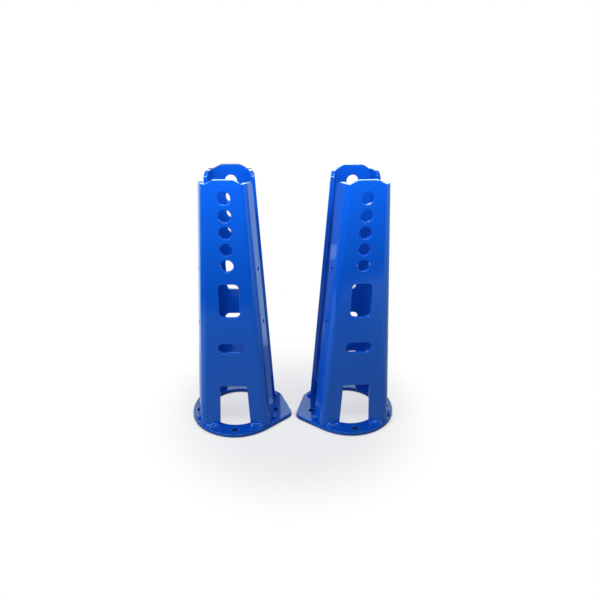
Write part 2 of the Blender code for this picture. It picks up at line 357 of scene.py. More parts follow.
@dataclass(frozen=True)
class Upright:
    """Upright cut from plate and folded back along both sides; heights start at its foot.

    The face is measured between its sharp outside corners. The blank's coordinates are the distance across
    it, the height and the depth behind its front skin.
    """

    plate: CutPlate = CutPlate()
    height: float = 417.5 * MM
    foot_width: float = 115.0 * MM
    top_width: float = 61.5 * MM
    flange_width: float = 30.0 * MM
    bend_angle: float = math.radians(75.0)
    bend_inside_radius: float = 5.65 * MM
    bend_facets: int = 20
    foot_corner: float = 1.5 * MM
    tab_width: float = 29.0 * MM
    tab_corner: float = 10.0 * MM
    notch_drop: float = 6.2 * MM
    notch_inset: float = 4.5 * MM
    notch_corner: float = 6.0 * MM
    flange_top_drop: float = 5.5 * MM
    flange_top_fall: float = 1.5 * MM
    flange_top_corner: float = 14.0 * MM
    bolt_hole_diameter: float = 19.05 * MM
    bolt_hole_pitch: float = 25.4 * MM
    bolt_hole_count: int = 5
    top_hole_drop: float = 25.4 * MM
    slot_width: float = 31.6 * MM
    slot_height: float = 56.6 * MM
    slot_corner: float = 8.0 * MM
    slot_drop: float = 29.3 * MM
    lightening_width: float = 42.0 * MM
    lightening_height: float = 18.0 * MM
    lightening_drop: float = 45.0 * MM
    window_height: float = 80.0 * MM
    window_foot_width: float = 51.4 * MM
    window_top_width: float = 43.8 * MM
    window_corner: float = 3.0 * MM
    flange_hole_diameter: float = 6.5 * MM
    flange_hole_edge: float = 10.0 * MM
    flange_hole_low: float = 190.0 * MM
    flange_hole_pitch: float = 88.9 * MM
    flange_hole_count: int = 2

    @property
    def bend_radius(self) -> float:
        """Radius of the bend's outside."""
        return self.bend_inside_radius + self.plate.thickness

    @property
    def bend_length(self) -> float:
        """Length of the blank that the bend takes up, along its outside."""
        return self.bend_radius * self.bend_angle

    @property
    def bend_setback(self) -> float:
        """Distance from the face's sharp corner back to where its bend starts."""
        return self.bend_radius * math.tan(self.bend_angle / 2)

    @property
    def taper(self) -> float:
        """Change of half width with height."""
        return (self.top_width - self.foot_width) / 2 / self.height

    def flat_half(self, height: float | np.ndarray) -> float | np.ndarray:
        """Half width of the flat face at a height, out to where its bend starts."""
        return self.foot_width / 2 - self.bend_setback + self.taper * height

    def free_edge(self, height: float | np.ndarray) -> float | np.ndarray:
        """Half width of the unfolded blank at a height."""
        return self.flat_half(height) + self.bend_length + self.flange_width - self.bend_setback

    def outline(self) -> np.ndarray:
        """Outline of the blank, one side and then the same mirrored.

        Returns:
            Points of the closed loop, from the window past the foot and the free edge to the tab.
        """
        flange_top = self.height - self.flange_top_drop
        flange_end = flange_top - self.flange_top_fall
        notch = self.height - self.notch_drop
        side = [
            (self.window_top_width / 2, self.window_height, self.window_corner),
            (self.window_foot_width / 2, 0.0, self.foot_corner),
            (self.free_edge(0.0), 0.0, self.foot_corner),
            (self.free_edge(flange_end), flange_end, self.flange_top_corner),
            (self.flat_half(flange_top) + self.bend_length, flange_top, self.notch_corner),
            (self.flat_half(notch) + self.notch_inset, notch, self.notch_corner),
            (self.tab_width / 2, self.height, self.tab_corner),
        ]
        return rounded(side + [(-x, y, radius) for x, y, radius in reversed(side)])

    def holes(self) -> list[np.ndarray]:
        """Holes in the blank.

        Returns:
            Loops round the bolt holes, both slots and the holes in the folded sides.
        """
        top_hole = self.height - self.top_hole_drop
        heights = [top_hole - self.bolt_hole_pitch * i for i in range(self.bolt_hole_count)]
        loops = [circle((0.0, height), self.bolt_hole_diameter / 2) for height in heights]
        slot_top = heights[-1] - self.slot_drop
        slot_middle = slot_top - self.slot_height / 2
        loops.append(upright_slot(slot_middle, self.slot_width, self.slot_height, self.slot_corner))
        low_middle = slot_top - self.slot_height - self.lightening_drop - self.lightening_height / 2
        round_end = self.lightening_height / 2
        loops.append(upright_slot(low_middle, self.lightening_width, self.lightening_height, round_end))
        for i in range(self.flange_hole_count):
            height = self.flange_hole_low + self.flange_hole_pitch * i
            across = self.free_edge(height) - self.flange_hole_edge
            loops += [circle((side * across, height), self.flange_hole_diameter / 2) for side in (-1, 1)]
        return loops

    def scored(self, loop: np.ndarray) -> tuple[np.ndarray, np.ndarray]:
        """Adds points where the blank's outline crosses the lines that it bends on.

        A point lies on a line when its distance past the flat face equals that line's, so each edge is cut
        where that distance, which runs evenly along it, passes the line's.

        Args:
            loop: Outline of the blank.

        Returns:
            The outline with its added points, and pairs of point numbers, foot and top of each line.
        """
        past = np.abs(loop[:, 0]) - self.flat_half(loop[:, 1])
        ahead = np.roll(past, -1)
        lines = np.linspace(0.0, self.bend_length, self.bend_facets + 1)
        crosses = (past[:, None] - lines) * (ahead[:, None] - lines) < 0
        edge, line = np.nonzero(crosses)
        share = (lines[line] - past[edge]) / (ahead[edge] - past[edge])
        added = loop[edge] + share[:, None] * (np.roll(loop, -1, axis=0)[edge] - loop[edge])
        clear = np.linalg.norm(loop[:, None] - added, axis=2).min(axis=1) > CROWDED
        along = np.concatenate([np.flatnonzero(clear), edge + share])
        order = np.argsort(along)
        rank = np.argsort(order)[np.count_nonzero(clear) :]
        which = line + (self.bend_facets + 1) * (added[:, 0] > 0)
        pairs = rank[np.argsort(which, kind="stable")].reshape(-1, 2)
        return np.concatenate([loop[clear], added])[order], pairs

    def folded(self, blank: Surface) -> Surface:
        """Folds both sides of the blank back from its face, which looks along -Y.

        Past the flat face a point turns by its distance over the bend's radius, up to the bend angle, and
        then runs straight: out = start + (R - depth) sin a + run cos a, back = R - (R - depth) cos a +
        run sin a. A normal is carried by the cross products of the map's three tangents.

        Args:
            blank: Flat plate with its depth in the third column.

        Returns:
            The folded plate, its foot at z = 0 and its front skin at y = 0.
        """
        across, height, depth = blank.points.T
        side = np.where(across < 0, -1.0, 1.0)
        start = self.flat_half(height)
        past = np.abs(across) - start
        angle = np.clip(past, 0.0, self.bend_length) / self.bend_radius
        run = np.maximum(past - self.bend_length, 0.0)
        radius = self.bend_radius - depth
        sine, cosine = np.sin(angle), np.cos(angle)
        out = start + np.minimum(past, 0.0) + radius * sine + run * cosine
        back = self.bend_radius - radius * cosine + run * sine
        points = np.stack([side * out, back, height], axis=1)
        stretch = np.where((past > 0) & (run == 0), radius / self.bend_radius, 1.0)
        slope = np.where(past > 0, self.taper, 0.0)
        zero = np.zeros_like(across)
        by_across = np.stack([stretch * cosine, side * stretch * sine, zero], axis=1)
        by_depth = np.stack([-side * sine, cosine, zero], axis=1)
        by_height = np.stack(
            [side * slope * (1 - stretch * cosine), -slope * stretch * sine, np.ones_like(across)], axis=1
        )
        pairs = ((by_depth, by_height), (by_across, by_depth), (by_height, by_across))
        covers = [np.cross(first, second) for first, second in pairs]
        normals = sum(blank.normals[:, [i]] * cover for i, cover in enumerate(covers))
        normals /= np.linalg.norm(normals, axis=1, keepdims=True)
        return Surface(points, blank.quads, blank.triangles, normals)

    def build(self) -> Surface:
        """Cuts the blank, scored where it bends, and folds it."""
        outline, scores = self.scored(self.outline())
        return self.folded(self.plate.cut([outline, *(hole[::-1] for hole in self.holes())], scores))


@dataclass(frozen=True)
class BaseFlange:
    """Ring cut from plate, with a lobe towards the other tower, a bore and bolt holes.

    Angles start at the lobe's side, and the ring's middle is on the tower's axis.
    """

    plate: CutPlate = CutPlate()
    ring_radius: float = 79.033 * MM
    bore_radius: float = 53.022 * MM
    bolt_diameter: float = 10.3 * MM
    bolt_inset: float = 11.9 * MM
    bolt_angles: tuple[float, ...] = (-90.0, -9.0, 90.0, 189.0)
    tip_reach: float = 16.9 * MM
    tip_radius: float = 14.0 * MM
    tip_angle: float = -11.5
    shoulder_reach: float = 5.2 * MM
    shoulder_radius: float = 20.0 * MM
    shoulder_angle: float = 24.5

    @staticmethod
    def polar(distance: float, degrees: float) -> tuple[float, float]:
        """Point at a distance and an angle from the tower's axis."""
        angle = math.radians(degrees)
        return distance * math.cos(angle), distance * math.sin(angle)

    @staticmethod
    def belt(circles: list[tuple[float, float, float]]) -> np.ndarray:
        """Outline of a belt laid anticlockwise round circles.

        A straight run leaves a circle where its normal makes, with the line between the two middles, the
        angle whose cosine is the difference of the radii over the distance.

        Args:
            circles: Middle and radius of each circle, in order.

        Returns:
            Points of the closed loop.
        """
        normals = []
        for (x, y, radius), (next_x, next_y, next_radius) in zip(circles, circles[1:] + circles[:1]):
            lean = math.acos((radius - next_radius) / math.hypot(next_x - x, next_y - y))
            normals.append(math.atan2(next_y - y, next_x - x) - lean)
        pieces = []
        for i, (x, y, radius) in enumerate(circles):
            turn = (normals[i] - normals[i - 1]) % (2 * math.pi)
            pieces.append(arc((x, y), radius, normals[i - 1], normals[i - 1] + turn))
        return np.concatenate(pieces)

    def build(self, hand: Hand) -> Surface:
        """Cuts the ring.

        Args:
            hand: Tower that it belongs to, which sets the lobe's side.

        Returns:
            The flange with its underside at z = 0.
        """
        tip = self.polar(self.ring_radius + self.tip_reach - self.tip_radius, self.tip_angle)
        shoulder_distance = self.ring_radius + self.shoulder_reach - self.shoulder_radius
        shoulder = self.polar(shoulder_distance, self.shoulder_angle)
        ears = [(0.0, 0.0, self.ring_radius), (*tip, self.tip_radius), (*shoulder, self.shoulder_radius)]
        bolts = [self.polar(self.ring_radius - self.bolt_inset, angle) for angle in self.bolt_angles]
        holes = [circle((0.0, 0.0), self.bore_radius)]
        holes += [circle(bolt, self.bolt_diameter / 2) for bolt in bolts]
        loops = [self.belt(ears), *(hole[::-1] for hole in holes)]
        if hand is Hand.RIGHT:
            loops = [loop[::-1] * np.array([-1.0, 1.0]) for loop in loops]
        flat = self.plate.cut(loops)
        upwards = np.array([1.0, 1.0, -1.0])
        lift = np.array([0.0, 0.0, self.plate.thickness])
        return Surface(flat.points * upwards + lift, flat.quads, flat.triangles, flat.normals * upwards)


@dataclass(frozen=True)
class FilletWeld:
    """Fillet bead laid in short pulses, each of which leaves a crescent-shaped ripple.

    Attributes:
        leg: Height and width of the bead's section.
        crown: How far its face bulges.
        crown_power: Power of the sine that the bulge follows up the face.
        pulse: Distance between ripples.
        ripple: Height of a ripple.
        ripple_range: Least and greatest share of that height, drawn for each ripple.
        spare_ripples: Ripples drawn past those that fit, for the bow and the drift.
        bow: How far, in ripples, a crescent's middle leads its ends.
        drift: Height, in ripples, and rate of two waves along the bead that shift its ripples.
        wander: Height, as a share, and rate of a wave along the bead in its size.
        skew: Height, as a share, and rate of a wave that makes it wider and less high.
        end_power: Power of the curve that closes its ends.
        lump: Height of its uneven lumps.
        lump_sizes: Least and greatest distance between them.
        lump_waves: Number of waves that they are the mean of.
        sink: How deep the bead reaches into the plates that it joins.
        steps_per_pulse: Sections for each ripple.
        face_steps: Facets up the face.
    """

    leg: float
    crown: float = 0.8 * MM
    crown_power: float = 0.8
    pulse: float = 3.6 * MM
    ripple: float = 1.0 * MM
    ripple_range: tuple[float, float] = (0.55, 1.25)
    spare_ripples: int = 4
    bow: float = 0.80
    drift: tuple[tuple[float, float], tuple[float, float]] = ((0.22, 3.1), (0.12, 8.3))
    wander: tuple[float, float] = (0.16, 4.7)
    skew: tuple[float, float] = (0.06, 11.0)
    end_power: int = 8
    lump: float = 0.6 * MM
    lump_sizes: tuple[float, float] = (3.6 * MM, 7.0 * MM)
    lump_waves: int = 5
    sink: float = 0.5 * MM
    steps_per_pulse: int = 14
    face_steps: int = 22

    def stations(self, length: float) -> np.ndarray:
        """Shares along a bead, from -1 to 1, at which it has a section; both ends are left out."""
        return np.linspace(-1.0, 1.0, math.ceil(length / self.pulse * self.steps_per_pulse) + 1)[1:-1]

    def face(self, length: float, seed: int) -> np.ndarray:
        """Works out the bead's face, along X, with the corner that it fills on the X axis.

        With t from -1 to 1 along the bead and q from 0 to 1 up its face, a point is the section's chord
        (-(1 - q), q), skewed by a wave, plus a bulge along (-1, 1), all times a size. That is the square root
        of 1 less the end power of t, which closes both ends, times another wave. The bulge is a power of
        sin(pi q) times the sum of the crown, the ripple, 1 - (2 f - 1)^2 of the pulse's fraction f, and the
        lumps, which are the mean of a few plane waves over the face.

        Args:
            length: Length of the bead.
            seed: Number that its unevenness is drawn from.

        Returns:
            Points by station and by step up the face.
        """
        draw = np.random.default_rng(seed)
        pulses = length / self.pulse
        along = self.stations(length)[:, None]
        up = np.linspace(0.0, 1.0, self.face_steps + 1)[None, :]
        swings = (*self.drift, self.wander, self.skew)
        starts = draw.uniform(0.0, 2 * math.pi, len(swings))
        slow, quick, wander, skew = (
            height * np.sin(rate * along + start) for (height, rate), start in zip(swings, starts)
        )
        phase = (along + 1) / 2 * pulses + self.bow * np.sin(math.pi * up) + (slow + quick)
        shares = draw.uniform(*self.ripple_range, math.ceil(pulses) + self.spare_ripples)
        heights = self.ripple * shares[np.clip(np.floor(phase).astype(int) + 1, 0, len(shares) - 1)]
        ripple = heights * (1 - (2 * (phase - np.floor(phase)) - 1) ** 2)
        pitch = draw.uniform(*self.lump_sizes, self.lump_waves)
        way, start = draw.uniform(0.0, 2 * math.pi, (2, self.lump_waves))
        travel = along[..., None] * length / 2 * np.cos(way) + up[..., None] * self.leg * np.sin(way)
        lumps = self.lump * np.sin(2 * math.pi * travel / pitch + start).mean(axis=2)
        size = np.sqrt(1 - along**self.end_power) * (1 + wander)
        spread = 1 + skew
        bulge = (self.crown + ripple + lumps) * np.sin(math.pi * up) ** self.crown_power * math.sqrt(0.5)
        out = -(self.leg * (1 - up) * spread + bulge) * size
        rise = (self.leg * up / spread + bulge) * size
        return np.stack([np.broadcast_to(along * length / 2, out.shape), out, rise], axis=-1)

    def build(self, length: float, seed: int, room: np.ndarray | None = None) -> Surface:
        """Closes a bead behind its face, sunk into the plates at y = 0 and z = 0, with a pole at each end.

        Args:
            length: Length of the bead.
            seed: Number that its unevenness is drawn from.
            room: Greatest width at each station, to which a wider section is narrowed, or None.

        Returns:
            The closed bead.
        """
        face = self.face(length, seed)
        if room is not None:
            width = np.abs(face[..., 1]).max(axis=1, keepdims=True)
            face[..., 1] *= np.minimum(1.0, room[:, None] / width)
        # The section's three hidden corners: behind its top, in the plates' corner and below its toe
        hidden = np.repeat(face[:, :1], 3, axis=1)
        hidden[:, :2, 1] = self.sink
        hidden[:, 0, 2] = face[:, -1, 2]
        hidden[:, 1:, 2] = -self.sink
        rings = np.concatenate([face, hidden], axis=1)
        stations, count = rings.shape[:2]
        poles = np.array([(-length / 2, 0.0, 0.0), (length / 2, 0.0, 0.0)])
        points = np.concatenate([rings.reshape(-1, 3), poles])
        number = np.arange(stations * count).reshape(stations, count)
        beside = np.roll(number, -1, axis=1)
        quads = np.stack([number[:-1], number[1:], beside[1:], beside[:-1]], axis=-1).reshape(-1, 4)
        first = np.full(count, len(points) - 2)
        last = np.full(count, len(points) - 1)
        near = np.stack([first, number[0], beside[0]], axis=-1)
        far = np.stack([last, beside[-1], number[-1]], axis=-1)
        return Surface(points, quads, np.concatenate([near, far]))


@dataclass(frozen=True)
class PowderCoat:
    """Gloss polyester powder coat, sprayed dry on steel and baked.

    The melted powder flows out to a deep, even colour under a mirror gloss, with a slow swell, the faint
    dimples of orange peel and a little cloudiness in its colour and gloss.
    """

    name: str
    colour: str = "#0B56CD"
    deep_colour: str = "#0A53C8"
    gloss_tint: str = "#CBFAFF"
    cloud_size: float = 70.0 * MM
    cloud_detail: float = 3.0
    roughness: float = 0.085
    roughness_drift: float = 0.03
    peel_size: float = 3.2 * MM
    peel_height: float = 0.006 * MM
    swell_size: float = 22.0 * MM
    swell_height: float = 0.02 * MM
    relief_detail: float = 1.0
    ior: float = 1.5

    def material(self) -> bpy.types.Material:
        """Builds the finish, whose patterns lie in the piece's own metres.

        Returns:
            The node material.
        """
        material = bpy.data.materials.new(self.name)
        material.use_nodes = True
        tree = material.node_tree
        shader = tree.nodes["Principled BSDF"]
        place = add_node(tree, "ShaderNodeTexCoord").outputs["Object"]
        patterns = []
        for size, detail in (
            (self.cloud_size, self.cloud_detail),
            (self.swell_size, self.relief_detail),
            (self.peel_size, self.relief_detail),
        ):
            sockets = {"Vector": place, "Scale": 1 / size, "Detail": detail}
            patterns.append(add_node(tree, "ShaderNodeTexNoise", sockets).outputs["Fac"])
        cloud, swell, peel = patterns
        sockets = {0: cloud, 6: linear(self.colour), 7: linear(self.deep_colour)}
        tint = add_node(tree, "ShaderNodeMix", sockets, data_type="RGBA").outputs[2]
        drift = self.roughness_drift / 2
        sockets = {"Value": cloud, "To Min": self.roughness - drift, "To Max": self.roughness + drift}
        gloss = add_node(tree, "ShaderNodeMapRange", sockets).outputs["Result"]
        sockets = {"Height": swell, "Distance": self.swell_height}
        waves = add_node(tree, "ShaderNodeBump", sockets).outputs["Normal"]
        sockets = {"Height": peel, "Distance": self.peel_height, "Normal": waves}
        skin = add_node(tree, "ShaderNodeBump", sockets).outputs["Normal"]
        for name, output in (("Base Color", tint), ("Roughness", gloss), ("Normal", skin)):
            tree.links.new(output, shader.inputs[name])
        shader.inputs["IOR"].default_value = self.ior
        shader.inputs["Specular Tint"].default_value = linear(self.gloss_tint)
        return material


PLATE_COAT = PowderCoat("gloss_blue_powder_coat")
WELD_COAT = PowderCoat(
    "powder_coat_over_weld", peel_size=1.6 * MM, peel_height=0.012 * MM, roughness=0.08, swell_height=0.0
)


@dataclass(frozen=True)
class Tower:
    """One tower of the pair: base flange, two facing uprights and their welds.

    Attributes:
        hand: Which tower it is.
        spacing: Distance between the two towers' axes.
        stagger: How far one stands behind the other.
        toe: How far each turns its lobe to the front, in degrees.
        depth: Distance over the faces of the uprights.
        seat_gap: Clearance of the solids, which the uprights stand at.
        face_weld: Where, from the middle of a face, its beads start and end.
        flange_weld: Where, from a face's sharp corner, the beads of its folded sides start and end.
        upright: The plate that both faces are made from.
        base: The ring that they stand on.
        face_bead: The weld in front of a leg.
        flange_bead: The weld beside a folded side.
    """

    hand: Hand
    spacing: float = 196.466 * MM
    stagger: float = 6.3 * MM
    toe: float = 2.6
    depth: float = 115.4 * MM
    seat_gap: float = 0.3 * MM
    face_weld: tuple[float, float] = (25.2 * MM, 49.6 * MM)
    flange_weld: tuple[float, float] = (19.7 * MM, 29.4 * MM)
    upright: Upright = Upright()
    base: BaseFlange = BaseFlange()
    face_bead: FilletWeld = FilletWeld(leg=7.0 * MM)
    flange_bead: FilletWeld = FilletWeld(
        leg=5.0 * MM, crown=1.0 * MM, pulse=2.6 * MM, ripple=0.5 * MM, lump=0.5 * MM
    )

    @property
    def place(self) -> tuple[float, float, float]:
        """Where the tower's axis meets the floor."""
        return (-self.hand.value * self.spacing / 2, self.hand.value * self.stagger / 2, 0.0)

    def add(self, node: str, surface: Surface, slot: Slot, material: bpy.types.Material) -> None:
        """Turns and shifts a surface from the tower's frame to its place, and lets it stand for its solid.

        Args:
            node: Name of the solid.
            surface: Surface in the tower's frame.
            slot: Material slot of the record; not used.
            material: Finish.
        """
        placed = surface.moved(-self.hand.value * math.radians(self.toe), self.place)
        piece = placed.to_object(f"{node}_coated")
        piece.data.materials.append(material)
        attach(piece, BODY)
        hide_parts(node)
        low, high = (np.array(corner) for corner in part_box(node))
        off = max(np.abs(placed.points.min(0) - low).max(), np.abs(placed.points.max(0) - high).max())
        log.info("%s: %d points, box within %.2f mm of its solid", piece.name, len(placed.points), off / MM)

    def build_plates(self, coat: bpy.types.Material) -> None:
        """Builds the base flange and both uprights.

        Args:
            coat: Finish of the plates.
        """
        label = self.hand.label
        self.add(f"{label}_base_flange", self.base.build(self.hand), Slot.PLATE, coat)
        upright = self.upright.build()
        foot = self.base.plate.thickness + self.seat_gap
        for end in End:
            standing = upright.moved(end.turn, (0.0, end.value * self.depth / 2, foot))
            self.add(f"{label}_{end.name.lower()}_upright", standing, Slot.PLATE, coat)

    def ledge(self, way: int) -> np.ndarray:
        """Width of the base flange beside a face weld, up to where its rim starts to round off.

        At a distance x from the tower's middle it is sqrt(R^2 - x^2) less the distance to the face.

        Args:
            way: 1 where the bead's own X axis points to the tower's middle, -1 where it points away.

        Returns:
            One width for each station of the bead.
        """
        start, stop = self.face_weld
        share = self.face_bead.stations(stop - start)
        away = (start + stop) / 2 - way * share * (stop - start) / 2
        rim = self.base.ring_radius - self.base.plate.edge_radius
        return np.sqrt(rim**2 - away**2) - self.depth / 2

    def build_welds(self, coat: bpy.types.Material) -> None:
        """Builds the face and flange beads at the foot of each leg.

        Args:
            coat: Finish of the beads.
        """
        top = self.base.plate.thickness
        corner_x, corner_y = self.upright.foot_width / 2, self.depth / 2
        fold = self.upright.bend_angle
        seed = WELD_SEEDS[self.hand]
        for end in End:
            for leg in Leg:
                side = leg.value * self.hand.value
                label = f"{self.hand.label}_{end.name.lower()}_{leg.name.lower()}"
                start, stop = self.face_weld
                seed += 1
                bead = self.face_bead.build(stop - start, seed, self.ledge(side * end.value))
                place = (side * (start + stop) / 2, end.value * corner_y, top)
                self.add(f"{label}_face_weld", bead.moved(end.turn, place), Slot.WELD, coat)
                start, stop = self.flange_weld
                seed += 1
                bead = self.flange_bead.build(stop - start, seed)
                middle = (start + stop) / 2
                outward = math.atan2(end.value * math.cos(fold), side * math.sin(fold))
                across = side * (corner_x + middle * math.cos(fold))
                place = (across, end.value * (corner_y - middle * math.sin(fold)), top)
                self.add(f"{label}_flange_weld", bead.moved(outward + math.pi / 2, place), Slot.WELD, coat)


@dataclass(frozen=True)
class Lamp:
    """Rectangular soft light that looks at a point.

    Attributes:
        name: Name of its object.
        place: Where its middle is.
        target: The point that it looks at.
        size: Its width and height.
        power: Its power in watts.
        mirrored: Whether the gloss shows it.
        diffuse: Whether it lights more than the gloss.
    """

    name: str
    place: tuple[float, float, float]
    target: tuple[float, float, float]
    size: tuple[float, float]
    power: float
    mirrored: bool = True
    diffuse: bool = True

    def build(self) -> None:
        """Adds the light, which the camera doesn't see."""
        light = bpy.data.lights.new(self.name, "AREA")
        light.shape = "RECTANGLE"
        light.size, light.size_y = self.size
        light.energy = self.power
        lamp = bpy.data.objects.new(self.name, light)
        lamp.location = self.place
        lamp.rotation_euler = (Vector(self.target) - Vector(self.place)).to_track_quat("-Z", "Y").to_euler()
        lamp.visible_camera = False
        lamp.visible_glossy = self.mirrored
        lamp.visible_diffuse = self.diffuse
        bpy.context.scene.collection.objects.link(lamp)


@dataclass(frozen=True)
class Card:
    """Flat sheet in the studio.

    Attributes:
        name: Name of its object.
        corner: One corner.
        along: Edge that starts there.
        beside: The other edge that starts there.
    """

    name: str
    corner: tuple[float, float, float]
    along: tuple[float, float, float]
    beside: tuple[float, float, float]

    def build(self, material: bpy.types.Material) -> bpy.types.Object:
        """Adds the sheet, its corners the sums of the first one and the two edges.

        Args:
            material: What it is made of.

        Returns:
            The sheet.
        """
        along, beside = np.array(self.along), np.array(self.beside)
        corners = np.array(self.corner) + np.stack([0 * along, along, along + beside, beside])
        sheet = Surface(corners, np.array([(0, 1, 2, 3)]), np.empty((0, 3), int)).to_object(self.name)
        sheet.data.materials.append(material)
        return sheet


@dataclass(frozen=True)
class Studio:
    """White paper on a table, with a near key light, three fills and a strip light high at the back.

    Attributes:
        paper: The sheet that the towers stand on.
        paper_colour: What the camera and the gloss see of the paper.
        bounce_colour: What the paper throws back on the towers.
        table_edge: Where, along Y, the paper ends in front, as the gloss of the front faces shows it.
        table_slant: How far that edge runs to the front with each metre along X.
        table_side: Where, along X, the paper ends on the left.
        sweep: Where, along Y, the gloss starts to see the white sweep at the back, and sees only that.
        front_white: Share of plain white that the gloss sees in front of the sweep.
        beside: Distances along X at which it starts to see more white on both sides, and only that.
        cards: Glowing grey sheets that only the gloss sees: painted dark reflections, and on the paper
            between the towers a painted shade as the gloss sees it.
        card_light: How bright they are.
        contact: How far round the towers' feet the paper gets its painted contact shade, by ambient
            occlusion.
        contact_samples: Rays that measure that.
        contact_seen: Shares of open sky at which the camera sees the paper in full painted shade, and sees it
            clear.
        contact_mirrored: The same for the gloss.
        shade_colour: Hue of the painted contact shade and of the dark room past the table's edges.
        near_white: Share of plain white in the paper close to the towers.
        fade: Distances at which plain white starts to take over, and at which nothing else is left.
        fade_back: The same along Y.
        ambient: Light from all round.
        mirrored_colour: Cool white of the daylight that the gloss mirrors.
        room: What the gloss sees of the dark room in front and of the white wall behind.
        room_turn: Directions, along Y, between which the one gives way to the other.
        window: How much brighter a row of windows at the back is.
        window_span: Rise of the directions to the windows' sill and head, each with its soft edge.
        ceiling: How bright a pale ceiling over the front is.
        ceiling_rise: Rise of the directions between which it starts.
        ceiling_turn: Directions, along Y, between which it ends.
        lamps: The lights.
    """

    paper: Card = Card("white_table", (-6.0, -6.0, 0.0), (12.0, 0.0, 0.0), (0.0, 12.0, 0.0))
    paper_colour: str = "#F7F7F8"
    bounce_colour: str = "#7C7C7E"
    table_edge: tuple[float, float] = (-0.64, -0.53)
    table_slant: float = 0.35
    table_side: tuple[float, float] = (-0.72, -0.56)
    sweep: tuple[float, float] = (0.14, 0.26)
    front_white: float = 0.30
    beside: tuple[float, float] = (0.18, 0.36)
    cards: tuple[Card, ...] = (
        # Painted reflections: dim glowing sheets that only the gloss sees; the one lying on the paper paints
        # the towers' shade between them into the mirror images
        Card("low_card", (-0.19, 0.14, 0.075), (0.17, 0.0, 0.0), (0.0, 0.0, 0.145)),
        Card("high_card", (-0.19, 0.14, 0.25), (0.17, 0.0, 0.0), (0.0, 0.0, 0.20)),
        Card("floor_painted_shade", (-0.06, 0.02, 0.0005), (0.20, 0.0, 0.0), (0.0, 0.17, 0.0)),
    )
    card_light: float = 0.25
    contact: float = 0.03
    contact_samples: int = 12
    contact_seen: tuple[float, float] = (0.45, 0.72)
    contact_mirrored: tuple[float, float] = (0.45, 1.0)
    shade_colour: str = "#8FA8D8"
    near_white: float = 0.65
    fade: tuple[float, float] = (0.12, 0.27)
    fade_back: tuple[float, float] = (0.0, 0.26)
    ambient: float = 0.06
    mirrored_colour: str = "#E1FFFF"
    room: tuple[float, float] = (0.04, 1.0)
    room_turn: tuple[float, float] = (-0.35, 0.35)
    window: float = 2.6
    window_span: tuple[tuple[float, float], tuple[float, float]] = ((0.0, 0.05), (0.36, 0.42))
    ceiling: float = 4.0
    ceiling_rise: tuple[float, float] = (0.78, 0.88)
    ceiling_turn: tuple[float, float] = (-0.30, -0.15)
    lamps: tuple[Lamp, ...] = (
        Lamp("key_strip", (-0.11, -0.27, 0.61), (-0.11, -0.03, 0.50), (1.00, 0.06), 3.70),
        Lamp("left_fill", (-2.00, -0.83, 0.17), (0.0, 0.0, 0.20), (1.20, 0.30), 24.0, mirrored=False),
        Lamp("right_fill", (1.60, -0.62, 0.22), (0.0, 0.0, 0.20), (0.80, 0.30), 5.0, mirrored=False),
        Lamp("rear_fill", (0.50, 2.20, 0.17), (0.0, 0.0, 0.20), (1.60, 0.30), 30.0, mirrored=False),
        Lamp("back_strip", (0.0, 1.50, 1.10), (0.0, 0.0, 0.0), (1.90, 0.36), 3.0, diffuse=False),
    )

    @staticmethod
    def bare_tree(owner: bpy.types.Material | bpy.types.World) -> bpy.types.NodeTree:
        """Turns on the nodes of a material or a world and empties their tree.

        Args:
            owner: What the nodes belong to.

        Returns:
            The empty tree.
        """
        owner.use_nodes = True
        owner.node_tree.nodes.clear()
        return owner.node_tree

    @staticmethod
    def add_parts(tree: bpy.types.NodeTree, parts: dict, ramps: tuple, joins: tuple) -> None:
        """Adds smooth steps of some values and then joins parts two by two, all kept by name.

        Args:
            tree: Node tree that gets them.
            parts: Output sockets or plain values by name, to which this adds.
            ramps: Name, value's name, where the step starts and ends, and what it starts and ends with.
            joins: Name, operation, and the names of the two parts.
        """
        for name, value, span, ends in ramps:
            sockets = {"Value": parts[value], "From Min": span[0], "From Max": span[1]}
            sockets |= {"To Min": ends[0], "To Max": ends[1]}
            step = add_node(tree, "ShaderNodeMapRange", sockets, interpolation_type="SMOOTHSTEP")
            parts[name] = step.outputs["Result"]
        for name, operation, first, second in joins:
            sockets = {0: parts[first], 1: parts[second]}
            parts[name] = add_node(tree, "ShaderNodeMath", sockets, operation=operation).outputs[0]

